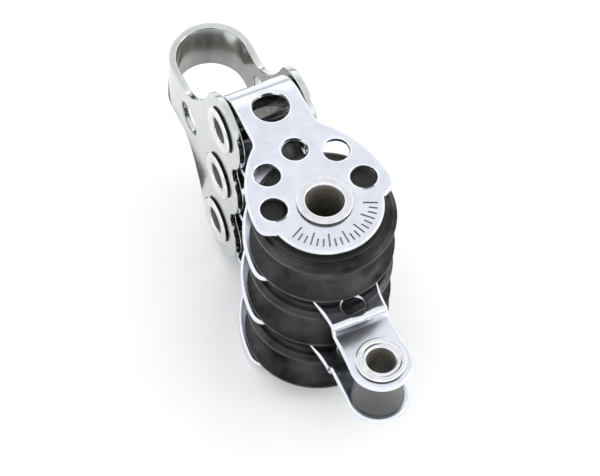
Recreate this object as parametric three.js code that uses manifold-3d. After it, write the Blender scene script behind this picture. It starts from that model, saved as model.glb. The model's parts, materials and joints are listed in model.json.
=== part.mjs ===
// Triple sheave block with becket, millimetres.
// Z is the axle's axis. +Y runs to the bow at the head, -Y to the becket. The origin is the centre of
// the block's outer box. Shapes are drawn round the axle, and the whole is then moved along Y.
// The three sheaves turn on ball rings. Everything else is riveted up solid.
import * as THREE from "three";
import { mergeVertices } from "three/addons/utils/BufferGeometryUtils.js";
import Module from "manifold-3d";

const wasm = await Module();
wasm.setup();

// Driving dimensions
const SHEAVE_R = 11;
const BAY = 12.3; // from one cheek to the next
const BAYS = { top: BAY, middle: 0, bottom: -BAY };
const CLEARANCE = 0.1;
const REST_GAP = 0.05;
const ROUND_SEGMENTS = 30;
const SMALL_SEGMENTS = 20;
const BEND_SEGMENTS = 7;
const BOW_SEGMENTS = 10;
const DEGREE = Math.PI / 180;
const MARGIN = 1; // how far a shape runs past what it cuts
const OVERLAP = 0.1; // how far two shapes to be joined run into each other

// Cheeks
const CHEEK_T = 1.1;
const NECK_HALF = 5.25;
const FLANK = { x: -7.4, y: 0.2, r: 18.65 }; // the arc of each flank, mirrored for the other side
const NECK_FILLET_Y = 15.2;
const NECK_FLARE = { out: 0.7, up: 0.6 };
const CORNER_Y = 0.6;
const CORNER = { in: 0.9, low: 0.8, high: 1.45 }; // the rounded corner's ends, from the rim's end
const RIM_TURN = 0.3;
const RIM_R = 9.0;
const RIM_START = -15 * DEGREE;
const BEND_Y = 20.0;
const BEND_OUTER = (BAY + CHEEK_T) / 2;
const BEND_INNER = (BAY - CHEEK_T) / 2;
const LIGHTENING = { r: 2.0, circle: 7.5, y: 3.15, step: 49.4 * DEGREE, count: 5 };
const HEAD_HOLE = { r: 2.8, y: 19.2 };

// Becket arms
const ARM_ROOT_HALF = 5.2;
const ARM_WAIST_HALF = 4.65;
const ARM_END_HALF = 4.9;
const ARM_ROOT_Y = -8.7;
const ARM_ROOT_FLARE = { out: 0.7, up: 1 };
const ARM_END_EASE = 3;
const JOGGLE = { start: -13.2, end: -14.3, drop: 1.5 };
const ARM_HOLE = { r: 1.8, y: -11.3 };
const BECKET_Y = -21.1;

// Head strap
const STRAP_T = 1.15;
const STRAP_OUTER = 6.75;
const STRAP_INNER = STRAP_OUTER - STRAP_T;
const BOW_Y = 40.1;
const BOW_HALF = 4.85;
const LEG_HOLE = { r: 2.7, y: 33.9 };
const HEAD_Y = 22.3;
const LOBE_Y = HEAD_Y - 0.4;
const LOBE_R = 6.2;
const VALLEY_R = 2.8;
const VALLEY_DROP = Math.sqrt((LOBE_R + VALLEY_R) ** 2 - (BAY / 2) ** 2);
const VALLEY_ANGLE = Math.atan2(BAY / 2, VALLEY_DROP);
const FLARE_START_Y = 36.0;
const FLARE_BEND = { y: 32.4, z: 5.2 };
const FLARE_END = 12 * DEGREE;

// The axle's place, halfway between the ends of the bow and the becket arms at the origin
const AXLE_Y = -(BOW_Y + STRAP_OUTER + BECKET_Y - ARM_END_HALF) / 2;

// Rivets, each hollow with a rolled flange at both ends
const HEAD_RIVET = { outer: 2.6, bore: 2.0, flange: 3.9, stand: 0.6 };
const AXLE_RIVET = { outer: 3.3, bore: 2.65, flange: 4.3, stand: 0.7 };
const BECKET_RIVET = { outer: 2.6, bore: 2.05, flange: 3.95, stand: 0.65 };
const FLANGE_STEPS = 5; // an odd number leaves a flat ring on top
const MOUTH = { out: 0.35, deep: 0.9 }; // the rounded way into a rivet's bore
const SLEEVE_R = 3.2;
const SPOOL = { end: 3.9, waist: 3.35, lip: 0.9, ramp: 0.4 };

// Sheaves and their ball rings
const GROOVE = { r: 8.2, arc: 3.6, steps: 6 };
const RIM_HALF = 4.1;
const RIM_FACE = { r: 10.4, half: 4.5 };
const HUB_FACE = { r: 9.3, half: 5.0, ramp: 0.2 };
const BALL_R = 1.25;
const BALL_CIRCLE = 5.45;
const BALL_COUNT = 12;
const BALL_DETAIL = 1;
const POCKET_HALF = 1.45;
const LIP_R = 4.95;
const RACE_SHOULDER = { r: 4.7, half: 2.2, ramp: 0.6 };

const STEEL = { color: 0xd6dbe6, metalness: 1, roughness: 0.28 };
const STRAP_STEEL = { color: 0xc9cdc9, metalness: 1, roughness: 0.22 };
const BRIGHT_STEEL = { color: 0xdcdfe2, metalness: 1, roughness: 0.18 };
const BLACK_PLASTIC = { color: 0x383634, metalness: 0, roughness: 0.45 };
const GREY_PLASTIC = { color: 0x74736f, metalness: 0, roughness: 0.5 };
const BALL_PLASTIC = { color: 0xe8e6df, metalness: 0, roughness: 0.4 };

const block = new THREE.Group();
const onAxle = new THREE.Group();
onAxle.position.y = AXLE_Y;
block.add(onAxle);

function addPart(name, geometry, finish, parent = onAxle) {
  const mesh = new THREE.Mesh(geometry, new THREE.MeshStandardMaterial(finish));
  mesh.name = name;
  parent.add(mesh);
  return mesh;
}

// The closed solid of a geometry, and back again.
function toSolid(geometry) {
  const bare = geometry.clone();
  bare.deleteAttribute("normal");
  bare.deleteAttribute("uv");
  const merged = mergeVertices(bare, 1e-4);
  return new wasm.Manifold(
    new wasm.Mesh({
      numProp: 3,
      vertProperties: merged.attributes.position.array,
      triVerts: new Uint32Array(merged.index.array),
    }),
  );
}

function toGeometry(solid) {
  const mesh = solid.getMesh();
  const geometry = new THREE.BufferGeometry();
  geometry.setAttribute("position", new THREE.BufferAttribute(mesh.vertProperties, 3));
  geometry.setIndex(new THREE.BufferAttribute(mesh.triVerts, 1));
  geometry.computeVertexNormals();
  return geometry;
}

function extrude(shape, from, to, curveSegments = 8) {
  const geometry = new THREE.ExtrudeGeometry(shape, {
    depth: to - from,
    bevelEnabled: false,
    curveSegments,
  });
  return geometry.translate(0, 0, from);
}

// An outline drawn in Y and Z, pulled out along X.
const SIDE_VIEW = new THREE.Matrix4().makeBasis(
  new THREE.Vector3(0, 1, 0),
  new THREE.Vector3(0, 0, 1),
  new THREE.Vector3(1, 0, 0),
);

function extrudeAlongX(shape, from, to, curveSegments) {
  return extrude(shape, from, to, curveSegments).applyMatrix4(SIDE_VIEW);
}

function addHole(shape, x, y, r) {
  const hole = new THREE.Path();
  hole.absarc(x, y, r, 0, 2 * Math.PI, true);
  shape.holes.push(hole);
}

// A solid turned round the Z axis from a closed [radius, height] profile.
function turned(profile, segments) {
  const points = profile.map(([r, z]) => new THREE.Vector2(r, z));
  points.push(points[0].clone());
  return new THREE.LatheGeometry(points, segments).rotateX(Math.PI / 2);
}

// Where the right flank's arc is at a given height along Y.
function flankAngle(y) {
  return Math.asin((y - FLANK.y) / FLANK.r);
}

// Outline shared by all four cheeks: neck, two flanks and two corners, then the rim drawn by `lower`.
function cheekOutline(lower) {
  const crown = BEND_Y + BEND_OUTER + MARGIN;
  const flareX = NECK_HALF + NECK_FLARE.out;
  const neckAngle = Math.acos((flareX - FLANK.x) / FLANK.r);
  const cornerAngle = flankAngle(CORNER_Y);
  const rimX = RIM_R * Math.cos(RIM_START);
  const rimY = RIM_R * Math.sin(RIM_START);
  const cornerX = FLANK.x + FLANK.r * Math.cos(cornerAngle);
  const shape = new THREE.Shape();
  shape.moveTo(-NECK_HALF, crown);
  shape.lineTo(-NECK_HALF, NECK_FILLET_Y);
  const neckY = FLANK.y + FLANK.r * Math.sin(neckAngle);
  shape.quadraticCurveTo(-NECK_HALF, neckY + NECK_FLARE.up, -flareX, neckY);
  shape.absarc(-FLANK.x, FLANK.y, FLANK.r, Math.PI - neckAngle, Math.PI - cornerAngle, false);
  shape.quadraticCurveTo(-cornerX, rimY + CORNER.high, CORNER.in - cornerX, rimY + CORNER.low);
  shape.lineTo(-rimX - RIM_TURN, rimY);
  lower(shape);
  shape.lineTo(rimX + RIM_TURN, rimY);
  shape.lineTo(cornerX - CORNER.in, rimY + CORNER.low);
  shape.quadraticCurveTo(cornerX, rimY + CORNER.high, cornerX, CORNER_Y);
  shape.absarc(FLANK.x, FLANK.y, FLANK.r, cornerAngle, neckAngle, false);
  shape.quadraticCurveTo(NECK_HALF, neckY + NECK_FLARE.up, NECK_HALF, NECK_FILLET_Y);
  shape.lineTo(NECK_HALF, crown);
  addHole(shape, 0, 0, AXLE_RIVET.outer + CLEARANCE);
  return shape;
}

function outerCheekOutline() {
  const shape = cheekOutline((path) => {
    path.absarc(0, 0, RIM_R, Math.PI - RIM_START, 2 * Math.PI + RIM_START, false);
  });
  for (let i = 0; i < LIGHTENING.count; i++) {
    const turn = (i - (LIGHTENING.count - 1) / 2) * LIGHTENING.step;
    const x = LIGHTENING.circle * Math.sin(turn);
    const y = LIGHTENING.y + LIGHTENING.circle * Math.cos(turn);
    addHole(shape, x, y, LIGHTENING.r);
  }
  addHole(shape, 0, HEAD_HOLE.y, HEAD_HOLE.r);
  return shape;
}

function innerCheekOutline() {
  const rootAngle = Math.acos((ARM_ROOT_HALF + ARM_ROOT_FLARE.out) / RIM_R);
  const rimEnd = { x: RIM_R * Math.cos(rootAngle), y: -RIM_R * Math.sin(rootAngle) };
  const flareY = ARM_ROOT_Y + ARM_ROOT_FLARE.up;
  const waistY = JOGGLE.start;
  const halfWay = (ARM_ROOT_Y + waistY) / 2;
  const endY = BECKET_Y + ARM_END_EASE;
  const shape = cheekOutline((path) => {
    path.absarc(0, 0, RIM_R, Math.PI - RIM_START, Math.PI + rootAngle, false);
    path.quadraticCurveTo(-ARM_ROOT_HALF, flareY, -ARM_ROOT_HALF, ARM_ROOT_Y);
    path.quadraticCurveTo(-ARM_WAIST_HALF, halfWay, -ARM_WAIST_HALF, waistY);
    path.quadraticCurveTo(-ARM_WAIST_HALF, endY, -ARM_END_HALF, BECKET_Y);
    path.absarc(0, BECKET_Y, ARM_END_HALF, Math.PI, 2 * Math.PI, false);
    path.quadraticCurveTo(ARM_WAIST_HALF, endY, ARM_WAIST_HALF, waistY);
    path.quadraticCurveTo(ARM_WAIST_HALF, halfWay, ARM_ROOT_HALF, ARM_ROOT_Y);
    path.quadraticCurveTo(ARM_ROOT_HALF, flareY, rimEnd.x, rimEnd.y);
    path.absarc(0, 0, RIM_R, -rootAngle, RIM_START, false);
  });
  addHole(shape, 0, ARM_HOLE.y, ARM_HOLE.r);
  addHole(shape, 0, BECKET_Y, BECKET_RIVET.outer + CLEARANCE);
  return shape;
}

// The strip's edge, seen from the side: outer cheek, half-round bend, inner cheek, joggled arm.
function stripSideView() {
  const far = -RIM_R - MARGIN;
  const tip = BECKET_Y - ARM_END_HALF - MARGIN;
  const low = BAY - BEND_OUTER;
  const high = BAY - BEND_INNER;
  const half = (JOGGLE.start + JOGGLE.end) / 2;
  const shape = new THREE.Shape();
  shape.moveTo(far, BAY + BEND_OUTER);
  shape.lineTo(far, BAY + BEND_INNER);
  shape.lineTo(BEND_Y, BAY + BEND_INNER);
  shape.absarc(BEND_Y, BAY, BEND_INNER, Math.PI / 2, -Math.PI / 2, true);
  shape.lineTo(JOGGLE.start, high);
  shape.bezierCurveTo(half, high, half, high - JOGGLE.drop, JOGGLE.end, high - JOGGLE.drop);
  shape.lineTo(tip, high - JOGGLE.drop);
  shape.lineTo(tip, low - JOGGLE.drop);
  shape.lineTo(JOGGLE.end, low - JOGGLE.drop);
  shape.bezierCurveTo(half, low - JOGGLE.drop, half, low, JOGGLE.start, low);
  shape.lineTo(BEND_Y, low);
  shape.absarc(BEND_Y, BAY, BEND_OUTER, -Math.PI / 2, Math.PI / 2, false);
  return shape;
}

// One strip makes an outer cheek, the bend at the head, an inner cheek and a becket arm.
function cheekStrap() {
  const side = SHEAVE_R + MARGIN;
  const strip = toSolid(extrudeAlongX(stripSideView(), -side, side, BEND_SEGMENTS));
  const outerPlan = toSolid(extrude(outerCheekOutline(), BAY, 2 * BAY));
  const innerPlan = toSolid(extrude(innerCheekOutline(), 0, BAY + OVERLAP));
  return toGeometry(strip.intersect(outerPlan.add(innerPlan)));
}

// One leg of the head strap seen from the side: narrow by the bow, three lobes for the cross rivets.
function legOutline() {
  const flare = new THREE.Vector2(
    LOBE_Y + LOBE_R * Math.cos(FLARE_END),
    BAY + LOBE_R * Math.sin(FLARE_END),
  );
  const shape = new THREE.Shape();
  shape.moveTo(BOW_Y, BOW_HALF);
  shape.lineTo(FLARE_START_Y, BOW_HALF);
  shape.quadraticCurveTo(FLARE_BEND.y, FLARE_BEND.z, flare.x, flare.y);
  shape.absarc(LOBE_Y, BAY, LOBE_R, FLARE_END, Math.PI + VALLEY_ANGLE, false);
  for (const z of [BAY / 2, -BAY / 2]) {
    shape.absarc(LOBE_Y - VALLEY_DROP, z, VALLEY_R, VALLEY_ANGLE, -VALLEY_ANGLE, true);
    const lobeEnd = z > 0 ? Math.PI + VALLEY_ANGLE : 2 * Math.PI - FLARE_END;
    shape.absarc(LOBE_Y, z - BAY / 2, LOBE_R, Math.PI - VALLEY_ANGLE, lobeEnd, false);
  }
  shape.quadraticCurveTo(FLARE_BEND.y, -FLARE_BEND.z, FLARE_START_Y, -BOW_HALF);
  shape.lineTo(BOW_Y, -BOW_HALF);
  addHole(shape, LEG_HOLE.y, 0, LEG_HOLE.r);
  for (const z of Object.values(BAYS)) addHole(shape, HEAD_Y, z, HEAD_RIVET.outer + CLEARANCE);
  return shape;
}

function bowOutline() {
  const foot = BOW_Y - OVERLAP;
  const shape = new THREE.Shape();
  shape.moveTo(STRAP_OUTER, foot);
  shape.absarc(0, BOW_Y, STRAP_OUTER, 0, Math.PI, false);
  shape.lineTo(-STRAP_OUTER, foot);
  shape.lineTo(-STRAP_INNER, foot);
  shape.absarc(0, BOW_Y, STRAP_INNER, Math.PI, 0, true);
  shape.lineTo(STRAP_INNER, foot);
  return shape;
}

function headStrap() {
  const bow = toSolid(extrude(bowOutline(), -BOW_HALF, BOW_HALF, BOW_SEGMENTS));
  const right = toSolid(extrudeAlongX(legOutline(), STRAP_INNER, STRAP_OUTER, BEND_SEGMENTS));
  const left = toSolid(extrudeAlongX(legOutline(), -STRAP_OUTER, -STRAP_INNER, BEND_SEGMENTS));
  return toGeometry(bow.add(right).add(left));
}

// A hollow rivet along Z whose flanges stand on faces `reach` from its middle.
function hollowRivet({ outer, bore, flange, stand }, reach, segments) {
  const foot = reach + REST_GAP;
  const mouth = bore + MOUTH.out;
  const upper = [];
  for (let i = 0; i <= FLANGE_STEPS; i++) {
    const turn = (i / FLANGE_STEPS) * Math.PI;
    const r = (flange + mouth) / 2 + ((flange - mouth) / 2) * Math.cos(turn);
    upper.push([r, foot + stand * Math.sin(turn)]);
  }
  const half = [[outer, foot], ...upper, [bore, foot - MOUTH.deep]];
  const mirrored = half.map(([r, z]) => [r, -z]).reverse();
  return turned([...mirrored, ...half], segments);
}

function tube(outer, inner, half) {
  return turned([[outer, -half], [outer, half], [inner, half], [inner, -half]], SMALL_SEGMENTS);
}

function spool() {
  const half = BAY / 2 - CHEEK_T / 2 - JOGGLE.drop - REST_GAP;
  const inner = BECKET_RIVET.outer + CLEARANCE;
  const waist = half - SPOOL.lip;
  return turned([
    [inner, -half], [SPOOL.end, -half], [SPOOL.end, -waist - SPOOL.ramp], [SPOOL.waist, -waist],
    [SPOOL.waist, waist], [SPOOL.end, waist + SPOOL.ramp], [SPOOL.end, half], [inner, half],
  ], SMALL_SEGMENTS);
}

function sheave() {
  const centre = GROOVE.r + GROOVE.arc;
  const spread = Math.acos((centre - SHEAVE_R) / GROOVE.arc);
  const groove = [];
  for (let i = 0; i <= GROOVE.steps; i++) {
    const turn = spread * ((2 * i) / GROOVE.steps - 1);
    groove.push([centre - GROOVE.arc * Math.cos(turn), GROOVE.arc * Math.sin(turn)]);
  }
  const pocket = BALL_CIRCLE + BALL_R + REST_GAP;
  const side = [
    [SHEAVE_R, RIM_HALF], [RIM_FACE.r, RIM_FACE.half],
    [HUB_FACE.r + HUB_FACE.ramp, RIM_FACE.half], [HUB_FACE.r, HUB_FACE.half],
    [LIP_R, HUB_FACE.half], [LIP_R, POCKET_HALF], [pocket, POCKET_HALF],
  ];
  const mirrored = side.map(([r, z]) => [r, -z]).reverse();
  return turned([...mirrored, ...groove, ...side], ROUND_SEGMENTS);
}

// The inner race is also the spacer that holds two cheeks apart.
function innerRace() {
  const half = BEND_INNER - REST_GAP;
  const inner = AXLE_RIVET.outer + CLEARANCE;
  const track = BALL_CIRCLE - BALL_R - REST_GAP;
  const { r: shoulder, half: shoulderHalf } = RACE_SHOULDER;
  const trackHalf = shoulderHalf - RACE_SHOULDER.ramp;
  return turned([
    [inner, -half], [shoulder, -half], [shoulder, -shoulderHalf], [track, -trackHalf],
    [track, trackHalf], [shoulder, shoulderHalf], [shoulder, half], [inner, half],
  ], SMALL_SEGMENTS);
}

function addBallRing(bay, z) {
  const ring = new THREE.Group();
  ring.position.z = z;
  for (let i = 0; i < BALL_COUNT; i++) {
    const turn = (2 * Math.PI * i) / BALL_COUNT;
    const ball = new THREE.IcosahedronGeometry(BALL_R, BALL_DETAIL);
    const mesh = addPart(`ball_${bay}_${i + 1}`, ball, BALL_PLASTIC, ring);
    mesh.position.set(BALL_CIRCLE * Math.cos(turn), BALL_CIRCLE * Math.sin(turn), 0);
  }
  onAxle.add(ring);
}

addPart("cheek_strap_top", cheekStrap(), STEEL);
addPart("cheek_strap_bottom", cheekStrap(), STEEL).rotation.y = Math.PI;
addPart("head_strap", headStrap(), STRAP_STEEL);
addPart("axle_rivet", hollowRivet(AXLE_RIVET, BAY + BEND_OUTER, SMALL_SEGMENTS), BRIGHT_STEEL);

const becketReach = BAY / 2 + CHEEK_T / 2 - JOGGLE.drop;
const becketRivet = hollowRivet(BECKET_RIVET, becketReach, SMALL_SEGMENTS);
addPart("becket_rivet", becketRivet, BRIGHT_STEEL).position.y = BECKET_Y;
addPart("becket_spool", spool(), GREY_PLASTIC).position.y = BECKET_Y;

for (const [bay, z] of Object.entries(BAYS)) {
  const rivet = hollowRivet(HEAD_RIVET, STRAP_OUTER, SMALL_SEGMENTS).rotateY(Math.PI / 2);
  addPart(`head_rivet_${bay}`, rivet, BRIGHT_STEEL).position.set(0, HEAD_Y, z);
  const sleeveBore = HEAD_RIVET.outer + CLEARANCE;
  const sleeve = tube(SLEEVE_R, sleeveBore, STRAP_INNER - REST_GAP).rotateY(Math.PI / 2);
  addPart(`head_sleeve_${bay}`, sleeve, STRAP_STEEL).position.set(0, HEAD_Y, z);
  addPart(`sheave_${bay}`, sheave(), BLACK_PLASTIC).position.z = z;
  addPart(`inner_race_${bay}`, innerRace(), STEEL).position.z = z;
  addBallRing(bay, z);
}

export default block;
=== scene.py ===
"""Looks for the triple sheave block with becket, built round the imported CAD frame.

Every piece is a fine mesh in the place of its CAD node. Shapes are worked out in millimetres from
the middle of the axle and made in metres. Z is the axle's axis, +Y runs to the bow and -Y to the
becket.
"""

import json
import math

import bmesh
import bpy
from mathutils import Matrix, Vector


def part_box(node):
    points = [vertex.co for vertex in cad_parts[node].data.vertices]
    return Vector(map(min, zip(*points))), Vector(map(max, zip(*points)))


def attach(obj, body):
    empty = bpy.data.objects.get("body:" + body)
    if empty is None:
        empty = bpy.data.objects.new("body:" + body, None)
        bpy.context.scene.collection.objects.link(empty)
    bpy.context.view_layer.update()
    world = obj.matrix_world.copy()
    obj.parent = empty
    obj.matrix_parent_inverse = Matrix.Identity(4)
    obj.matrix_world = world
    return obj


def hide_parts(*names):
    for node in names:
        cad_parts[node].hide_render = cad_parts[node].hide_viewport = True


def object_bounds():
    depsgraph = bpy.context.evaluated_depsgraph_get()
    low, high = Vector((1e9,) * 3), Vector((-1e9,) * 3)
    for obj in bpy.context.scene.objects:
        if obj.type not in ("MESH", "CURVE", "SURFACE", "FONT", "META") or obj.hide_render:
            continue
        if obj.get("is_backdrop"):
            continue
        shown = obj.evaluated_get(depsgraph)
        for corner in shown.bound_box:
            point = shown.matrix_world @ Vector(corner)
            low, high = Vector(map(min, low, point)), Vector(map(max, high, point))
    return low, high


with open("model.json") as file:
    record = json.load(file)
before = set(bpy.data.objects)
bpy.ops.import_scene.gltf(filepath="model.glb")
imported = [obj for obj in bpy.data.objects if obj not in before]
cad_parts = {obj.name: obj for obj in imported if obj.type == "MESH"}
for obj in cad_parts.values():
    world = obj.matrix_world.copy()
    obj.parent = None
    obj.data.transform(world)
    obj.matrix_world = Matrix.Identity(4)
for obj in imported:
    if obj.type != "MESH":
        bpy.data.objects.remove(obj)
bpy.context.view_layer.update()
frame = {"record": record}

MM = 0.001
AXLE = sum(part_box("axle_rivet"), Vector()) / 2
BAY_NAMES = ("top", "middle", "bottom")
BODY_OF = {
    node: body
    for body, nodes in frame["record"]["behaviour"]["bodies"].items()
    for node in nodes
}


def span(node):
    """Lowest and highest corner of a CAD node, in millimetres from the middle of the axle."""
    low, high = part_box(node)
    return (low - AXLE) / MM, (high - AXLE) / MM


def middle(node):
    low, high = span(node)
    return (low + high) / 2


# Sizes read from the frame
_, SHEAVE_HIGH = span("sheave_middle")
_, CHEEK_HIGH = span("cheek_strap_top")
CHEEK_LOW, _ = span("cheek_strap_top")
_, STRAP_HIGH = span("head_strap")
_, SPOOL_HIGH = span("becket_spool")
_, SLEEVE_HIGH = span("head_sleeve_middle")
_, RACE_HIGH = span("inner_race_middle")
BAY = middle("sheave_top").z
HEAD_Y = middle("head_rivet_middle").y
BECKET_Y = middle("becket_rivet").y
SHEAVE_R = SHEAVE_HIGH.y
HUB_HALF = SHEAVE_HIGH.z
STRAP_OUTER = STRAP_HIGH.x
BOW_Y = STRAP_HIGH.y - STRAP_OUTER
CHEEK_TOP = CHEEK_HIGH.z

# Cheek straps
CHEEK_T = 1.1
BEND_MID = CHEEK_TOP - BAY - CHEEK_T / 2
BEND_Y = CHEEK_HIGH.y - BEND_MID - CHEEK_T / 2
BEND_LENGTH = math.pi * BEND_MID
BEND_CUTS = 28
NECK_HALF = 5.25
NECK_FILLET_Y = 15.2
NECK_FLARE_OUT, NECK_FLARE_UP = 0.7, 0.6
FLANK_X, FLANK_Y, FLANK_R = -7.4, 0.2, 18.65  # the arc of the right flank
CORNER_Y = 0.6
CORNER_IN, CORNER_LOW, CORNER_HIGH = 0.9, 0.8, 1.45  # the heights are from the rim's end
RIM_TURN = 0.3
RIM_R = 9.0
RIM_START = math.radians(-15)
AXLE_HOLE_R = 3.4
LIGHTENING_R, LIGHTENING_CIRCLE, LIGHTENING_Y = 2.0, 7.5, 3.15
LIGHTENING_STEP = math.radians(49.4)
LIGHTENING_COUNT = 5
HEAD_HOLE_R, HEAD_HOLE_Y = 2.8, 19.2
CHEEK_ROUND = 0.42

# Becket arms
ARM_ROOT_HALF, ARM_ROOT_Y = 5.2, -8.7
ARM_ROOT_FLARE_OUT, ARM_ROOT_FLARE_UP = 0.7, 1
ARM_WAIST_HALF = 4.65
ARM_END_HALF = BECKET_Y - CHEEK_LOW.y
ARM_END_EASE = 3
JOGGLE_START, JOGGLE_END, JOGGLE_DROP = -13.2, -14.3, 1.5
JOGGLE_CUTS = 14
ARM_HOLE_R, ARM_HOLE_Y = 1.8, -11.3
RIVET_HOLE_R = 2.7

# Head strap
STRAP_T = 1.15
BOW_HALF = 4.85
BOW_MID = STRAP_OUTER - STRAP_T / 2
BOW_LENGTH = math.pi * BOW_MID
BOW_CUTS = 48
LEG_HOLE_R, LEG_HOLE_Y = 2.7, 33.9
LOBE_DROP = 0.4
LOBE_Y = HEAD_Y - LOBE_DROP
LOBE_R = STRAP_HIGH.z - BAY
VALLEY_R = 2.8
FLARE_START_Y, FLARE_BEND_Y, FLARE_BEND_Z = 36.0, 32.4, 5.2
FLARE_END = math.radians(12)
FLARE_STEPS = 14
STRAP_ROUND = 0.24

# Hollow rivets: outer radius of the tube and radius of its bore
HEAD_RIVET = (2.6, 2.0)
AXLE_RIVET = (3.3, 2.65)
BECKET_RIVET = (2.6, 2.05)

# The rolled flange of a rivet, from the foot on the plate, over the top and into the bore
REST_GAP = 0.03
FOOT_WIDTH = 0.35
EDGE_TUCK, EDGE_HALF = 0.12, 0.06
CROWN_IN = 0.2
DIP_OUTER, DIP_INNER = 0.15, 0.1
INNER_CROWN_DENT = 0.7
INNER_CROWN_R, MOUTH_R = 0.4, 0.12
MOUTH_DEPTH, BORE_DEPTH = 0.4, 1.0
# Reach of the painted shade into the bore's mouth and round the gap under the rolled edge
DARK_MOUTH_R, DARK_INSET = 0.15, 0.05

# Sheaves
GROOVE_BOTTOM, GROOVE_ARC, GROOVE_STEPS = 8.2, 3.6, 28
GROOVE_LIP = 0.06
RIM_HALF = 3.95
STEP_R, STEP_HALF = 10.3, 4.5
STEP_OUT, STEP_DOWN = 0.12, 0.18
HUB_R, HUB_FOOT_OUT = 9.5, 0.12
DISH_R, DISH_DEPTH, DISH_SLOPE = 6.0, 0.25, 0.1
LIP_R, LIP_HALF = 4.95, 1.5
TRACK_R, TRACK_HALF = 6.75, 1.4
HUB_COLOUR_R, HUB_COLOUR_HALF = 9.45, 3

# Inner races and spool
RACE_TRACK_R, RACE_TRACK_HALF, RACE_SHOULDER_HALF = 4.15, 1.4, 2.1
SPOOL_END_OUT, SPOOL_WAIST_R, SPOOL_STEPS = 0.15, 3.72, 16
SPOOL_RIM, SPOOL_RIM_IN = 0.3, 0.06

# Generic engraved graduation on the outer cheeks
MARK_COUNT = 19
MARK_FROM, MARK_TO = math.radians(-152), math.radians(-24)
MARK_INNER, MARK_OUTER, MARK_SHORT = 5.7, 7.95, 6.6
MARK_HALF, MARK_DEPTH = 0.14, 0.12
LONG_MARK_EVERY = 3

# Studio: the dome's bands are pairs of a direction's height and its brightness
PLAIN_LIGHT = 1.3
DOME_BANDS = ((0.0, 0.45), (0.1, 0.6), (0.3, 1.6), (0.55, 1.3), (0.82, 0.97), (1.0, 1.1))
DOME_COOLNESS = 1.02
# The cards are rings under the bow, seen only in reflections, that paint reflections of shade on the
# polished bow
CARD_PLACE = (1.0, 42.3, 0)  # from the axle, under the bow
CARD_INNER, CARD_OUTER = 9.8, 13.8
CARD_CENTRE_R = 0.1
CARD_LEFT = -11.8  # where a card is cut off, from its middle
CARD_LIFT = 0.5
CARD_SEGMENTS = 64
FLOOR_HALF = 10.0  # in metres

# Camera: angles in degrees, distance in metres, shifts in millimetres
CAMERA_AZIMUTH, CAMERA_ELEVATION, CAMERA_ROLL = -28.0, 56.6, 3.65
CAMERA_DISTANCE, CAMERA_LENS = 0.7, 275.2
CAMERA_ASIDE, CAMERA_ABOVE = -3.03, 5.11

# Fineness of the meshes
POINT_STEP = 0.32
FEWEST_ARC_STEPS = 4
SAME_POINT = 1e-3
SUPPORT = 0.06  # from a rounding to the extra edge that keeps the flat beside it flat
ROUND_STEPS = 4
PROFILE_ROUND_STEPS = 5
LONGEST_ROUNDING = 0.45  # as a share of the side it is taken from
LONGEST_SUPPORT = 0.1
RIVET_SEGMENTS = 112
AXLE_SEGMENTS = 144
SHEAVE_SEGMENTS = 160
RACE_SEGMENTS = 80
SLEEVE_SEGMENTS = 96
SPOOL_SEGMENTS = 120
SHARP_ANGLE = math.radians(38)

# The part of a noise's range that nearly all of its values fall in
NOISE_LOW, NOISE_HIGH = 0.3, 0.7


# Outlines


def arc(cx, cy, r, start, end):
    """Points on a circle from one angle to another, ends included."""
    steps = max(FEWEST_ARC_STEPS, math.ceil(abs(end - start) * r / POINT_STEP))
    turns = [start + (end - start) * i / steps for i in range(steps + 1)]
    return [(cx + r * math.cos(a), cy + r * math.sin(a)) for a in turns]


def bend(start, pull, end, steps=8):
    """Points on the curve from start to end that is pulled towards a third point."""
    points = []
    for i in range(steps + 1):
        t = i / steps
        a, b, c = (1 - t) ** 2, 2 * t * (1 - t), t**2
        points.append(tuple(a * s + b * p + c * e for s, p, e in zip(start, pull, end)))
    return points


def circle(cx, cy, r):
    return arc(cx, cy, r, 0, 2 * math.pi)[:-1]


def without_doubles(points):
    """The loop without neighbours that fall on each other."""
    kept = []
    for point in points:
        if not kept or math.dist(point, kept[-1]) > SAME_POINT:
            kept.append(point)
    if math.dist(kept[0], kept[-1]) < SAME_POINT:
        kept.pop()
    return kept


def wound(points, anticlockwise):
    """The loop, turned round if need be, so that the material is on its left."""
    loop = without_doubles(points)
    area = sum(a[0] * b[1] - b[0] * a[1] for a, b in zip(loop, loop[1:] + loop[:1]))
    return loop if (area > 0) == anticlockwise else loop[::-1]


def cheek_upper():
    """Right side of a cheek from the rim's end up to the neck."""
    corner = math.asin((CORNER_Y - FLANK_Y) / FLANK_R)
    neck = math.acos((NECK_HALF + NECK_FLARE_OUT - FLANK_X) / FLANK_R)
    corner_x = FLANK_X + FLANK_R * math.cos(corner)
    neck_y = FLANK_Y + FLANK_R * math.sin(neck)
    rim_x, rim_y = RIM_R * math.cos(RIM_START), RIM_R * math.sin(RIM_START)
    corner_start = (corner_x - CORNER_IN, rim_y + CORNER_LOW)
    corner_pull = (corner_x, rim_y + CORNER_HIGH)
    neck_start = (NECK_HALF + NECK_FLARE_OUT, neck_y)
    neck_pull = (NECK_HALF, neck_y + NECK_FLARE_UP)
    points = [(rim_x + RIM_TURN, rim_y)]
    points += bend(corner_start, corner_pull, (corner_x, CORNER_Y))
    points += arc(FLANK_X, FLANK_Y, FLANK_R, corner, neck)
    return points + bend(neck_start, neck_pull, (NECK_HALF, NECK_FILLET_Y))


def outer_cheek_side():
    """Right side of the outer cheek, from the foot of its round rim."""
    return arc(0, 0, RIM_R, -math.pi / 2, RIM_START) + cheek_upper()


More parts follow.
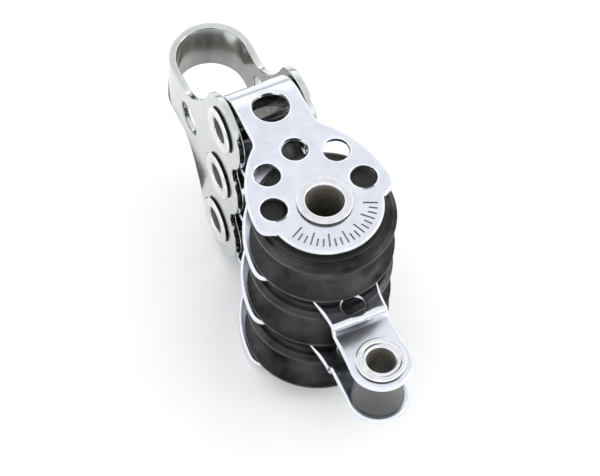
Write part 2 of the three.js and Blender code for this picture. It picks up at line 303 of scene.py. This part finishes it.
def inner_cheek_side():
    """Right side of the inner cheek, from the end of its becket arm."""
    root = math.acos((ARM_ROOT_HALF + ARM_ROOT_FLARE_OUT) / RIM_R)
    half_way = (ARM_ROOT_Y + JOGGLE_START) / 2
    waist, arm_root = (ARM_WAIST_HALF, JOGGLE_START), (ARM_ROOT_HALF, ARM_ROOT_Y)
    rim_end = (RIM_R * math.cos(root), -RIM_R * math.sin(root))
    points = arc(0, BECKET_Y, ARM_END_HALF, -math.pi / 2, 0)
    points += bend((ARM_END_HALF, BECKET_Y), (ARM_WAIST_HALF, BECKET_Y + ARM_END_EASE), waist)
    points += bend(waist, (ARM_WAIST_HALF, half_way), arm_root)
    points += bend(arm_root, (ARM_ROOT_HALF, ARM_ROOT_Y + ARM_ROOT_FLARE_UP), rim_end)
    points += arc(0, 0, RIM_R, -root, RIM_START)
    return points + cheek_upper()


def along_inner(y):
    """Where a point of the inner cheek is on the flat strip."""
    return 2 * BEND_Y + BEND_LENGTH - y


def cheek_loops():
    """Outline and holes of the flat strip that a cheek strap is folded from."""
    inner = [(x, along_inner(y)) for x, y in reversed(inner_cheek_side())]
    right = outer_cheek_side() + inner
    left = [(-x, s) for x, s in reversed(right)]
    holes = [circle(0, 0, AXLE_HOLE_R), circle(0, HEAD_HOLE_Y, HEAD_HOLE_R)]
    for i in range(LIGHTENING_COUNT):
        turn = (i - (LIGHTENING_COUNT - 1) / 2) * LIGHTENING_STEP
        x = LIGHTENING_CIRCLE * math.sin(turn)
        y = LIGHTENING_Y + LIGHTENING_CIRCLE * math.cos(turn)
        holes.append(circle(x, y, LIGHTENING_R))
    for y, r in ((0, AXLE_HOLE_R), (ARM_HOLE_Y, ARM_HOLE_R), (BECKET_Y, RIVET_HOLE_R)):
        holes.append(circle(0, along_inner(y), r))
    return [wound(right + left, True)] + [wound(hole, False) for hole in holes]


def cheek_marks():
    """Evenly spaced radial strokes on the outer cheek: one long, then two short, and so on."""
    marks = []
    for i in range(MARK_COUNT):
        turn = MARK_FROM + (MARK_TO - MARK_FROM) * i / (MARK_COUNT - 1)
        inner = MARK_INNER if i % LONG_MARK_EVERY == 0 else MARK_SHORT
        out = Vector((math.cos(turn), math.sin(turn)))
        across = Vector((-out.y, out.x)) * MARK_HALF
        ends = [out * inner - across, out * MARK_OUTER - across]
        ends += [out * MARK_OUTER + across, out * inner + across]
        marks.append(wound([tuple(p) for p in ends], True))
    return marks


def leg_side():
    """One leg of the head strap, from the bow round the three lobes and back to the bow."""
    drop = math.sqrt((LOBE_R + VALLEY_R) ** 2 - (BAY / 2) ** 2)
    tilt = math.atan2(BAY / 2, drop)
    flare = (LOBE_Y + LOBE_R * math.cos(FLARE_END), BAY + LOBE_R * math.sin(FLARE_END))
    points = bend((FLARE_START_Y, BOW_HALF), (FLARE_BEND_Y, FLARE_BEND_Z), flare, FLARE_STEPS)
    points += arc(LOBE_Y, BAY, LOBE_R, FLARE_END, math.pi + tilt)
    points += arc(LOBE_Y - drop, BAY / 2, VALLEY_R, tilt, -tilt)
    points += arc(LOBE_Y, 0, LOBE_R, math.pi - tilt, math.pi + tilt)
    points += arc(LOBE_Y - drop, -BAY / 2, VALLEY_R, tilt, -tilt)
    points += arc(LOBE_Y, -BAY, LOBE_R, math.pi - tilt, 2 * math.pi - FLARE_END)
    start, pull = (flare[0], -flare[1]), (FLARE_BEND_Y, -FLARE_BEND_Z)
    return points + bend(start, pull, (FLARE_START_Y, -BOW_HALF), FLARE_STEPS)


def along_leg(y):
    """Distance from the bow's crown to a point of the right leg, along the strip."""
    return BOW_LENGTH / 2 + BOW_Y - y


def strap_loops():
    """Outline and holes of the flat strip that the head strap is bent from."""
    right = [(z, along_leg(y)) for y, z in leg_side()]
    left = [(z, -s) for z, s in reversed(right)]
    holes = []
    for side in (1, -1):
        holes.append(circle(0, side * along_leg(LEG_HOLE_Y), LEG_HOLE_R))
        for z in (BAY, 0, -BAY):
            holes.append(circle(z, side * along_leg(HEAD_Y), RIVET_HOLE_R))
    return [wound(right + left, True)] + [wound(hole, False) for hole in holes]


# Sheet metal


def inward_normals(loop):
    """At each point of a loop, the step into the material that moves both its edges by one."""
    least_cosine = 0.5  # keeps the step at a sharp corner under two
    steps = []
    for before, here, after in zip(loop[-1:] + loop[:-1], loop, loop[1:] + loop[:1]):
        a = (Vector(here) - Vector(before)).normalized()
        b = (Vector(after) - Vector(here)).normalized()
        na, nb = Vector((-a.y, a.x)), Vector((-b.y, b.x))
        both = (na + nb).normalized()
        steps.append(both / max(least_cosine, both.dot(na)))
    return steps


def rim_section(half, radius):
    """(inset, height) down the edge of a plate, with both corners rounded."""
    upper = [(radius + SUPPORT, half)]
    for i in range(ROUND_STEPS + 1):
        turn = math.pi / 2 * i / ROUND_STEPS
        upper.append((radius * (1 - math.sin(turn)), half - radius * (1 - math.cos(turn))))
    return upper + [(inset, -height) for inset, height in reversed(upper)]


def add_rows(bm, rows):
    """Joins closed rows of points with faces. Returns the edges of the first and last row."""
    for upper, lower in zip(rows, rows[1:]):
        for i in range(len(upper)):
            j = (i + 1) % len(upper)
            bm.faces.new((upper[i], upper[j], lower[j], lower[i]))
    ends = []
    for row in (rows[0], rows[-1]):
        ends.append([bm.edges.get((row[i - 1], row[i])) for i in range(len(row))])
    return ends


def flat_plate(loops, thickness, radius, marks=()):
    """A flat plate with rounded edges. Marks are sunk in its upper face, in its second material."""
    bm = bmesh.new()
    half = thickness / 2
    top, bottom = [], []
    for loop in loops:
        steps = inward_normals(loop)
        rows = []
        for inset, height in rim_section(half, radius):
            moved = [Vector(p) + step * inset for p, step in zip(loop, steps)]
            rows.append([bm.verts.new((p.x, p.y, height)) for p in moved])
        first, last = add_rows(bm, rows)
        top += first
        bottom += last
    for mark in marks:
        rows = [[bm.verts.new((*p, h)) for p in mark] for h in (half, half - MARK_DEPTH)]
        first, _ = add_rows(bm, rows)
        top += first
        bm.faces.new(rows[-1])
    for face in bm.faces:
        face.material_index = int(bool(marks) and is_in_mark(face, half))
    for edges in (top, bottom):
        bmesh.ops.triangle_fill(bm, use_beauty=True, use_dissolve=False, edges=edges)
    bmesh.ops.recalc_face_normals(bm, faces=bm.faces[:])
    return bm


def is_in_mark(face, half):
    """True for the walls and floor of a mark, told by their place before the plate is filled in."""
    aside, below = 0.1, 0.01
    centre = face.calc_center_median()
    in_ring = MARK_INNER - aside < math.hypot(centre.x, centre.y) < MARK_OUTER + aside
    return in_ring and centre.z > half - MARK_DEPTH - below and centre.y < 0


def cut_across(bm, places):
    """Cuts a flat plate across its length, so that it can be bent at those places."""
    snap = 1e-5
    for place in places:
        everything = bm.verts[:] + bm.edges[:] + bm.faces[:]
        bmesh.ops.bisect_plane(
            bm, geom=everything, dist=snap, plane_co=(0, place, 0), plane_no=(0, 1, 0)
        )


def fold_cheek(x, s, w):
    """Place on the folded cheek strap of a point x across and s along it, w off its middle."""
    if s <= BEND_Y:
        return Vector((x, s, BAY + BEND_MID + w))
    if s < BEND_Y + BEND_LENGTH:
        turn = math.pi / 2 - (s - BEND_Y) / BEND_MID
        r = BEND_MID + w
        return Vector((x, BEND_Y + r * math.cos(turn), BAY + r * math.sin(turn)))
    y = along_inner(s)
    t = min(1, max(0, (JOGGLE_START - y) / (JOGGLE_START - JOGGLE_END)))
    drop = JOGGLE_DROP * t * t * (3 - 2 * t)
    slope = JOGGLE_DROP * 6 * t * (1 - t) / (JOGGLE_START - JOGGLE_END)
    out = Vector((0, slope, -1)).normalized()
    return Vector((x, y, BAY - BEND_MID - drop)) + out * w


def fold_strap(z, s, w):
    """Place on the bent head strap of a point z across and s along it, w off its middle."""
    r = BOW_MID + w
    if abs(s) < BOW_LENGTH / 2:
        turn = s / BOW_MID
        return Vector((r * math.sin(turn), BOW_Y + r * math.cos(turn), z))
    return Vector((math.copysign(r, s), BOW_Y + BOW_LENGTH / 2 - abs(s), z))


def cheek_strap(upside_down):
    """Outer cheek, half-round bend, inner cheek and becket arm in one folded strip."""
    bm = flat_plate(cheek_loops(), CHEEK_T, CHEEK_ROUND, cheek_marks())
    joggle = JOGGLE_END - JOGGLE_START
    bend_cuts = [BEND_Y + BEND_LENGTH * i / BEND_CUTS for i in range(BEND_CUTS + 1)]
    joggle_cuts = [JOGGLE_START + joggle * i / JOGGLE_CUTS for i in range(JOGGLE_CUTS + 1)]
    cut_across(bm, bend_cuts + [along_inner(y) for y in joggle_cuts])
    for vert in bm.verts:
        vert.co = fold_cheek(*vert.co)
        if upside_down:
            vert.co = Vector((-vert.co.x, vert.co.y, -vert.co.z))
    return bm


def head_strap():
    """The bow and both of its legs in one bent strip."""
    bm = flat_plate(strap_loops(), STRAP_T, STRAP_ROUND)
    cut_across(bm, [BOW_LENGTH * (i / BOW_CUTS - 0.5) for i in range(BOW_CUTS + 1)])
    for vert in bm.verts:
        vert.co = fold_strap(*vert.co)
    return bm


# Turned pieces


def rounded(corners):
    """A closed profile from (radius, height, rounding) corners."""
    points = []
    count = len(corners)
    for i, (r, z, rounding) in enumerate(corners):
        here = Vector((r, z))
        before = Vector(corners[i - 1][:2]) - here
        after = Vector(corners[(i + 1) % count][:2]) - here
        if not rounding:
            points.append((r, z))
            continue
        a, b = before.normalized(), after.normalized()
        shorter = min(before.length, after.length)
        reach = min(rounding, LONGEST_ROUNDING * shorter)
        pad = min(SUPPORT, LONGEST_SUPPORT * shorter)
        points.append(tuple(here + a * (reach + pad)))
        points += bend(here + a * reach, here, here + b * reach, PROFILE_ROUND_STEPS)
        points.append(tuple(here + b * (reach + pad)))
    return points


def mirrored_profile(upper):
    """A closed profile from its upper half, which runs from the outside in over the top."""
    lower = [(r, -z, rounding) for r, z, rounding in reversed(upper)]
    return rounded(lower + upper)


def revolved(profile, segments, is_second=None):
    """A ring turned round Z from a closed profile.

    Faces where is_second(r, z) holds get the piece's second material.
    """
    bm = bmesh.new()
    rows = []
    for i in range(segments):
        turn = 2 * math.pi * i / segments
        c, s = math.cos(turn), math.sin(turn)
        rows.append([bm.verts.new((r * c, r * s, z)) for r, z in profile])
    for i in range(segments):
        here, there = rows[i], rows[(i + 1) % segments]
        for j in range(len(profile)):
            k = (j + 1) % len(profile)
            face = bm.faces.new((here[j], here[k], there[k], there[j]))
            (ra, za), (rb, zb) = profile[j], profile[k]
            second = bool(is_second) and is_second((ra + rb) / 2, (za + zb) / 2)
            face.material_index = int(second)
    bmesh.ops.recalc_face_normals(bm, faces=bm.faces[:])
    return bm


def hollow_rivet(tube, flange, face, top, lift=0.45, dent=0.05, segments=RIVET_SEGMENTS):
    """A tube whose ends are rolled over into flanges that rest on faces at +-face.

    The roll's edge is curled clear of the face, by a share `lift` of the roll's height. A ring is
    dented into its top. The bore and the gap under the edge get painted shade, a dark second material.
    """
    outer, bore = tube
    foot = face + REST_GAP
    edge = foot + lift * (top - foot)
    dip = (flange + bore) / 2
    upper = [
        (outer, foot, 0.05),
        (outer + FOOT_WIDTH, foot, 0.1),
        (flange - EDGE_TUCK, edge - EDGE_HALF, 0.08),
        (flange, edge + EDGE_HALF, 0.12),
        (flange - CROWN_IN, top, 0.2),
        (dip + DIP_OUTER, top, 0.15),
        (dip, top - dent, 0.12),
        (dip - DIP_INNER, top - dent, 0.1),
        (bore + INNER_CROWN_R, top - INNER_CROWN_DENT * dent, 0.2),
        (bore + MOUTH_R, top - MOUTH_DEPTH, 0.25),
        (bore, top - BORE_DEPTH, 0.4),
    ]

    # The bore and the gap under the rolled edge take the painted shade
    def is_painted_shade(r, z):
        in_bore = r < bore + DARK_MOUTH_R and abs(z) < top - MOUTH_DEPTH
        return in_bore or (r > outer + DARK_INSET and abs(z) < edge - DARK_INSET)

    return revolved(mirrored_profile(upper), segments, is_painted_shade)


def sheave():
    """Round groove, stepped rim, raised hub face, and the outer track of the balls."""
    centre = GROOVE_BOTTOM + GROOVE_ARC
    spread = math.acos((centre - SHEAVE_R + GROOVE_LIP) / GROOVE_ARC)
    groove = []
    for i in range(GROOVE_STEPS + 1):
        turn = spread * (2 * i / GROOVE_STEPS - 1)
        groove.append((centre - GROOVE_ARC * math.cos(turn), GROOVE_ARC * math.sin(turn)))
    upper = [
        (SHEAVE_R, groove[-1][1] + GROOVE_LIP, 0.12),
        (SHEAVE_R, RIM_HALF, 0.22),
        (STEP_R + STEP_OUT, STEP_HALF - STEP_DOWN, 0.12),
        (STEP_R, STEP_HALF, 0.1),
        (HUB_R + HUB_FOOT_OUT, STEP_HALF, 0.12),
        (HUB_R, HUB_HALF, 0.16),
        (DISH_R + DISH_SLOPE, HUB_HALF, 0.1),
        (DISH_R, HUB_HALF - DISH_DEPTH, 0.1),
        (LIP_R, HUB_HALF - DISH_DEPTH, 0.12),
        (LIP_R, LIP_HALF, 0.1),
        (TRACK_R, TRACK_HALF, 0),
    ]
    side = rounded([(SHEAVE_R, 0, 0)] + upper + [(TRACK_R, 0, 0)])[1:-1]
    lower = [(r, -z) for r, z in reversed(side)]

    def is_hub(r, z):
        return r < HUB_COLOUR_R and abs(z) > HUB_COLOUR_HALF

    return revolved(lower + groove + side, SHEAVE_SEGMENTS, is_hub)


def inner_race():
    """The balls' inner track between two shoulders, up to the cheeks on each side."""
    upper = [
        (RACE_TRACK_R, RACE_TRACK_HALF, 0.3),
        (RACE_HIGH.x, RACE_SHOULDER_HALF, 0.1),
        (RACE_HIGH.x, RACE_HIGH.z, 0.15),
        (AXLE_HOLE_R, RACE_HIGH.z, 0.1),
    ]
    return revolved(mirrored_profile(upper), RACE_SEGMENTS)


def head_sleeve():
    upper = [(SLEEVE_HIGH.z, SLEEVE_HIGH.x, 0.15), (RIVET_HOLE_R, SLEEVE_HIGH.x, 0.1)]
    return revolved(mirrored_profile(upper), SLEEVE_SEGMENTS)


def becket_spool():
    """A thimble whose side is hollowed to a waist, with a narrow rim at each end."""
    end, half = SPOOL_HIGH.x + SPOOL_END_OUT, SPOOL_HIGH.z
    side = []
    for i in range(SPOOL_STEPS + 1):
        t = 2 * i / SPOOL_STEPS - 1
        r = SPOOL_WAIST_R + (end - SPOOL_WAIST_R) * t * t
        side.append((r, (half - SPOOL_RIM) * t, 0))
    ends = [(end - SPOOL_RIM_IN, half, 0.2), (RIVET_HOLE_R, half, 0.1)]
    lower = [(r, -z, rounding) for r, z, rounding in reversed(ends)]
    return revolved(rounded(lower + side + ends), SPOOL_SEGMENTS)


def ball(centre, radius):
    bm = bmesh.new()
    bmesh.ops.create_icosphere(bm, subdivisions=3, radius=radius)
    for vert in bm.verts:
        vert.co += centre
    return bm


# Putting the pieces in the scene


def lay_along_x(bm):
    """Turns a piece that was made round Z, so that its axis lies along X."""
    for vert in bm.verts:
        vert.co = Vector((vert.co.z, vert.co.x, vert.co.y))


def shift(bm, y=0, z=0):
    for vert in bm.verts:
        vert.co += Vector((0, y, z))


def add_piece(node, bm, slot, *materials):
    """Shows a fine mesh, given in millimetres, in the place of a CAD node."""
    for vert in bm.verts:
        vert.co *= MM
    mesh = bpy.data.meshes.new(node + "_finish")
    bm.to_mesh(mesh)
    bm.free()
    for material in materials:
        mesh.materials.append(material)
    mesh.shade_smooth()
    mesh.set_sharp_from_angle(angle=SHARP_ANGLE)
    piece = bpy.data.objects.new(node + "_finish", mesh)
    piece.location = AXLE
    bpy.context.scene.collection.objects.link(piece)
    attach(piece, BODY_OF[node])
    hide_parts(node)


# Materials


class Nodes:
    """A new material's node tree, with short ways to add and join nodes."""

    def __init__(self, name):
        self.material = bpy.data.materials.new(name)
        self.material.use_nodes = True
        self.tree = self.material.node_tree
        self.tree.nodes.clear()
        self.shader = self.add("BsdfPrincipled")
        output = self.add("OutputMaterial")
        self.join(self.shader, "BSDF", output, "Surface")
        self.place = self.add("TexCoord")

    def add(self, kind, **settings):
        node = self.tree.nodes.new("ShaderNode" + kind)
        for key, value in settings.items():
            setattr(node, key, value)
        return node

    def join(self, source, out, target, into):
        self.tree.links.new(source.outputs[out], target.inputs[into])

    def noise(self, per_mm, detail=3.0, stretch=(1, 1, 1)):
        """Noise with about so many blotches to the millimetre."""
        mapping = self.add("Mapping")
        mapping.inputs["Scale"].default_value = [s / MM for s in stretch]
        self.join(self.place, "Object", mapping, "Vector")
        noise = self.add("TexNoise")
        noise.inputs["Scale"].default_value = per_mm
        noise.inputs["Detail"].default_value = detail
        self.join(mapping, "Vector", noise, "Vector")
        return noise

    def spread(self, source, low, high):
        """Maps a noise's middle range to low..high."""
        node = self.add("MapRange")
        node.inputs["From Min"].default_value = NOISE_LOW
        node.inputs["From Max"].default_value = NOISE_HIGH
        node.inputs["To Min"].default_value = low
        node.inputs["To Max"].default_value = high
        self.join(source, "Fac", node, "Value")
        return node

    def tint(self, source, dark, light):
        """Colours a noise between two colours."""
        ramp = self.add("ValToRGB")
        ramp.color_ramp.elements[0].position = NOISE_LOW
        ramp.color_ramp.elements[1].position = NOISE_HIGH
        ramp.color_ramp.elements[0].color = (*dark, 1)
        ramp.color_ramp.elements[1].color = (*light, 1)
        self.join(source, "Fac", ramp, "Fac")
        return ramp

    def bump(self, source, depth_mm, strength, after=None):
        """Relief from a noise, on top of the relief of the node `after`."""
        node = self.add("Bump")
        node.inputs["Strength"].default_value = strength
        node.inputs["Distance"].default_value = depth_mm * MM
        self.join(source, "Fac", node, "Height")
        if after:
            self.join(after, "Normal", node, "Normal")
        return node


def steel(name, dark, light, rough, blotch=0.5, grain=(1, 1, 1), relief=0.35, metallic=1.0):
    """Stainless steel with soft blotches, and scratches drawn out by `grain`."""
    n = Nodes(name)
    n.shader.inputs["Metallic"].default_value = metallic
    blotches = n.noise(blotch, detail=5)
    n.join(n.tint(blotches, dark, light), "Color", n.shader, "Base Color")
    scratches = n.noise(per_mm=5.0, detail=4, stretch=grain)
    n.join(n.spread(scratches, *rough), "Result", n.shader, "Roughness")
    waves = n.bump(n.noise(per_mm=0.7, detail=2), depth_mm=0.02, strength=relief)
    fine = n.bump(scratches, depth_mm=0.002, strength=relief, after=waves)
    n.join(fine, "Normal", n.shader, "Normal")
    return n.material


def plastic(name, dark, light, rough, sheen=(0.35, 0.45), rings=0.0):
    """Moulded plastic with a fine grit, and turning lines round Z where `rings` is above 0."""
    n = Nodes(name)
    patches = n.noise(per_mm=0.16, detail=3)
    n.join(n.tint(patches, dark, light), "Color", n.shader, "Base Color")
    wear = n.noise(per_mm=0.3, detail=4)
    n.join(n.spread(wear, *rough), "Result", n.shader, "Roughness")
    n.join(n.spread(patches, *sheen), "Result", n.shader, "Specular IOR Level")
    relief = n.bump(n.noise(per_mm=6.0, detail=3), depth_mm=0.012, strength=0.5)
    if rings:
        mapping = n.add("Mapping")
        mapping.inputs["Scale"].default_value = (1 / MM, 1 / MM, 1 / MM)
        n.join(n.place, "Object", mapping, "Vector")
        wave = n.add("TexWave", wave_type="RINGS", rings_direction="Z")
        wave.inputs["Scale"].default_value = rings
        wave.inputs["Distortion"].default_value = 0.4
        n.join(mapping, "Vector", wave, "Vector")
        relief = n.bump(wave, depth_mm=0.006, strength=0.35, after=relief)
    n.join(relief, "Normal", n.shader, "Normal")
    return n.material


def floor_material():
    n = Nodes("floor_paper")
    fibres = n.noise(per_mm=0.05, detail=3)
    paper = n.tint(fibres, (0.90, 0.90, 0.90), (0.93, 0.93, 0.93))
    n.join(paper, "Color", n.shader, "Base Color")
    n.shader.inputs["Roughness"].default_value = 0.9
    n.shader.inputs["Specular IOR Level"].default_value = 0.1
    return n.material


CHEEK_STEEL = steel(
    "cheek_steel", (0.71, 0.735, 0.80), (0.81, 0.84, 0.91), (0.13, 0.22), blotch=0.45, relief=0.3
)
# Sunk marks in darker, rougher steel: partly an etched finish, partly painted shade in the grooves
ETCHED_AND_SHADED_MARKS = steel("etched_and_shaded_marks", (0.20, 0.20, 0.22), (0.30, 0.30, 0.33), (0.45, 0.6))
STRAP_STEEL = steel(
    "strap_steel",
    (0.56, 0.585, 0.565),
    (0.65, 0.675, 0.655),
    (0.08, 0.15),
    blotch=0.3,
    grain=(1, 0.2, 1),
    relief=0.2,
)
RIVET_STEEL = steel(
    "rivet_steel", (0.70, 0.71, 0.73), (0.84, 0.85, 0.87), (0.10, 0.2), blotch=0.8
)
# Dark steel for the head sleeves, as painted shade: they sit deep inside the head, between the straps
SLEEVE_STEEL = steel(
    "sleeve_steel", (0.15, 0.14, 0.13), (0.24, 0.225, 0.21), (0.14, 0.22), blotch=0.9, relief=0.12
)
RACE_STEEL = steel(
    "race_steel", (0.60, 0.61, 0.62), (0.70, 0.71, 0.72), (0.22, 0.34), blotch=0.8
)
# Painted shade: a dark, nearly matt brown for the rivets' bores and the gaps under their rolled edges
BORE_AND_GAP_SHADE = steel(
    "bore_and_gap_shade", (0.11, 0.10, 0.085), (0.18, 0.165, 0.14), (0.5, 0.7), blotch=0.8, metallic=0.1
)
BLACK_PLASTIC = plastic(
    "black_plastic",
    (0.003, 0.0025, 0.002),
    (0.022, 0.021, 0.020),
    (0.2, 0.5),
    sheen=(0.1, 0.7),
    rings=1.6,
)
HUB_PLASTIC = plastic(
    "hub_plastic",
    (0.015, 0.013, 0.012),
    (0.026, 0.023, 0.022),
    (0.55, 0.7),
    sheen=(0.3, 0.4),
    rings=1.6,
)
# Painted reflections: the cards' tones show only in the polished steel of the bow
CARD_DARK = plastic("card_dark", (0.05, 0.045, 0.04), (0.17, 0.16, 0.15), (0.8, 0.9))
CARD_GREY = plastic("card_grey", (0.36, 0.36, 0.35), (0.46, 0.46, 0.45), (0.8, 0.9))
GREY_PLASTIC = plastic("grey_plastic", (0.05, 0.05, 0.051), (0.08, 0.08, 0.081), (0.36, 0.5))
BALL_PLASTIC = plastic("ball_plastic", (0.74, 0.73, 0.69), (0.82, 0.81, 0.77), (0.3, 0.4))


def add_cheeks():
    for side in ("top", "bottom"):
        bm = cheek_strap(side == "bottom")
        add_piece(f"cheek_strap_{side}", bm, "cheek_steel", CHEEK_STEEL, ETCHED_AND_SHADED_MARKS)


def add_head():
    add_piece("head_strap", head_strap(), "strap_steel", STRAP_STEEL)
    for name in BAY_NAMES:
        z = middle(f"head_rivet_{name}").z
        _, high = span(f"head_rivet_{name}")
        rivet = hollow_rivet(HEAD_RIVET, high.y - HEAD_Y, STRAP_OUTER, high.x)
        lay_along_x(rivet)
        shift(rivet, HEAD_Y, z)
        add_piece(f"head_rivet_{name}", rivet, "rivet_steel", RIVET_STEEL, BORE_AND_GAP_SHADE)
        sleeve = head_sleeve()
        lay_along_x(sleeve)
        shift(sleeve, HEAD_Y, z)
        add_piece(f"head_sleeve_{name}", sleeve, "strap_steel", SLEEVE_STEEL)


def add_axle():
    _, high = span("axle_rivet")
    rivet = hollow_rivet(
        AXLE_RIVET, high.y, CHEEK_TOP, high.z, lift=0.7, dent=0, segments=AXLE_SEGMENTS
    )
    add_piece("axle_rivet", rivet, "rivet_steel", RIVET_STEEL, BORE_AND_GAP_SHADE)


def add_becket():
    _, high = span("becket_rivet")
    face = BAY - BEND_MID - JOGGLE_DROP + CHEEK_T / 2
    rivet = hollow_rivet(BECKET_RIVET, high.x, face, high.z, lift=0.5, dent=0.18)
    shift(rivet, BECKET_Y)
    add_piece("becket_rivet", rivet, "rivet_steel", RIVET_STEEL, BORE_AND_GAP_SHADE)
    spool = becket_spool()
    shift(spool, BECKET_Y)
    add_piece("becket_spool", spool, "grey_plastic", GREY_PLASTIC)


def add_sheaves():
    for name in BAY_NAMES:
        z = middle(f"sheave_{name}").z
        wheel, race = sheave(), inner_race()
        shift(wheel, 0, z)
        shift(race, 0, z)
        add_piece(f"sheave_{name}", wheel, "black_plastic", BLACK_PLASTIC, HUB_PLASTIC)
        add_piece(f"inner_race_{name}", race, "race_steel", RACE_STEEL)
    for node in BODY_OF:
        if node.startswith("ball_"):
            low, high = span(node)
            add_piece(node, ball((low + high) / 2, (high.z - low.z) / 2), "ball_plastic", BALL_PLASTIC)


# The studio


def add_floor():
    mesh = bpy.data.meshes.new("floor")
    corners = [(x * FLOOR_HALF, y * FLOOR_HALF, 0) for x, y in ((-1, -1), (1, -1), (1, 1), (-1, 1))]
    mesh.from_pydata(corners, [], [(0, 1, 2, 3)])
    mesh.materials.append(floor_material())
    floor = bpy.data.objects.new("floor", mesh)
    floor.location.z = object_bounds()[0].z
    bpy.context.scene.collection.objects.link(floor)
    floor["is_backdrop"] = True


def add_softbox(name, azimuth, elevation, distance, size, power):
    """A square lamp that looks at the block. Azimuth 0 is on the -Y side, as the camera's is."""
    a, e = math.radians(azimuth), math.radians(elevation)
    out = Vector((math.sin(a) * math.cos(e), -math.cos(a) * math.cos(e), math.sin(e)))
    light = bpy.data.lights.new(name, "AREA")
    light.size = size
    light.energy = power
    lamp = bpy.data.objects.new(name, light)
    lamp.location = AXLE + out * distance
    lamp.rotation_mode = "QUATERNION"
    lamp.rotation_quaternion = out.to_track_quat("Z", "Y")
    bpy.context.scene.collection.objects.link(lamp)


def add_world():
    """Plain white to the camera and to matt surfaces. Polished ones see a banded dome."""
    world = bpy.data.worlds.new("studio")
    world.use_nodes = True
    tree = world.node_tree
    tree.nodes.clear()
    links = tree.links
    place = tree.nodes.new("ShaderNodeTexCoord")
    split = tree.nodes.new("ShaderNodeSeparateXYZ")
    ramp = tree.nodes.new("ShaderNodeValToRGB")
    links.new(place.outputs["Generated"], split.inputs["Vector"])
    links.new(split.outputs["Z"], ramp.inputs["Fac"])
    while len(ramp.color_ramp.elements) < len(DOME_BANDS):
        ramp.color_ramp.elements.new(1.0)
    for element, (height, grey) in zip(ramp.color_ramp.elements, DOME_BANDS):
        element.position = height
        element.color = (grey, grey, grey * DOME_COOLNESS, 1)
    dome = tree.nodes.new("ShaderNodeBackground")
    links.new(ramp.outputs["Color"], dome.inputs["Color"])
    plain = tree.nodes.new("ShaderNodeBackground")
    plain.inputs["Color"].default_value = (1, 1, 1, 1)
    plain.inputs["Strength"].default_value = PLAIN_LIGHT
    path = tree.nodes.new("ShaderNodeLightPath")
    mix = tree.nodes.new("ShaderNodeMixShader")
    output = tree.nodes.new("ShaderNodeOutputWorld")
    links.new(path.outputs["Is Glossy Ray"], mix.inputs["Fac"])
    links.new(plain.outputs["Background"], mix.inputs[1])
    links.new(dome.outputs["Background"], mix.inputs[2])
    links.new(mix.outputs["Shader"], output.inputs["Surface"])
    bpy.context.scene.world = world


def add_card(name, inner, outer, material):
    """A ring on the floor under the bow, cut straight on the left, seen only by reflections: a painted
    reflection of shade on the polished bow.
    """
    turns = [2 * math.pi * i / CARD_SEGMENTS for i in range(CARD_SEGMENTS)]
    bm = bmesh.new()
    rows = []
    for r in (outer, inner):
        ring = [(max(CARD_LEFT, r * math.cos(t)), r * math.sin(t), 0) for t in turns]
        rows.append([bm.verts.new(point) for point in ring])
    add_rows(bm, rows)
    for vert in bm.verts:
        vert.co *= MM
    mesh = bpy.data.meshes.new(name)
    bm.to_mesh(mesh)
    bm.free()
    mesh.materials.append(material)
    card = bpy.data.objects.new(name, mesh)
    card.location = AXLE + Vector(CARD_PLACE) * MM
    card.location.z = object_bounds()[0].z + CARD_LIFT * MM
    for rays in ("camera", "diffuse", "shadow", "transmission"):
        setattr(card, "visible_" + rays, False)
    bpy.context.scene.collection.objects.link(card)
    card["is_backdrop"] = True


def add_camera():
    """A long lens that looks down on the block from its lower left, with the frame tipped a little."""
    azimuth, elevation = math.radians(CAMERA_AZIMUTH), math.radians(CAMERA_ELEVATION)
    roll = math.radians(CAMERA_ROLL)
    aside, above = CAMERA_ASIDE * MM, CAMERA_ABOVE * MM
    back = Vector((
        math.sin(azimuth) * math.cos(elevation),
        -math.cos(azimuth) * math.cos(elevation),
        math.sin(elevation),
    ))
    right = Vector((math.cos(azimuth), math.sin(azimuth), 0))
    up = back.cross(right)
    tipped_right = right * math.cos(roll) + up * math.sin(roll)
    tipped_up = up * math.cos(roll) - right * math.sin(roll)
    data = bpy.data.cameras.new("camera")
    data.lens = CAMERA_LENS
    data.sensor_width = 36
    data.clip_end = 100
    camera = bpy.data.objects.new("camera", data)
    spot = AXLE + back * CAMERA_DISTANCE + tipped_right * aside + tipped_up * above
    turn = Matrix((tipped_right, tipped_up, back)).transposed()
    camera.matrix_world = Matrix.Translation(spot) @ turn.to_4x4()
    bpy.context.scene.collection.objects.link(camera)
    bpy.context.scene.camera = camera


add_cheeks()
add_head()
add_axle()
add_becket()
add_sheaves()
add_floor()
add_card("dark_card", CARD_INNER, CARD_OUTER, CARD_DARK)
add_card("grey_card", CARD_CENTRE_R, CARD_INNER, CARD_GREY)
add_softbox("side_softbox", azimuth=65, elevation=35, distance=0.9, size=0.25, power=1.0)
add_world()
add_camera()
bpy.context.scene.view_settings.view_transform = "Standard"
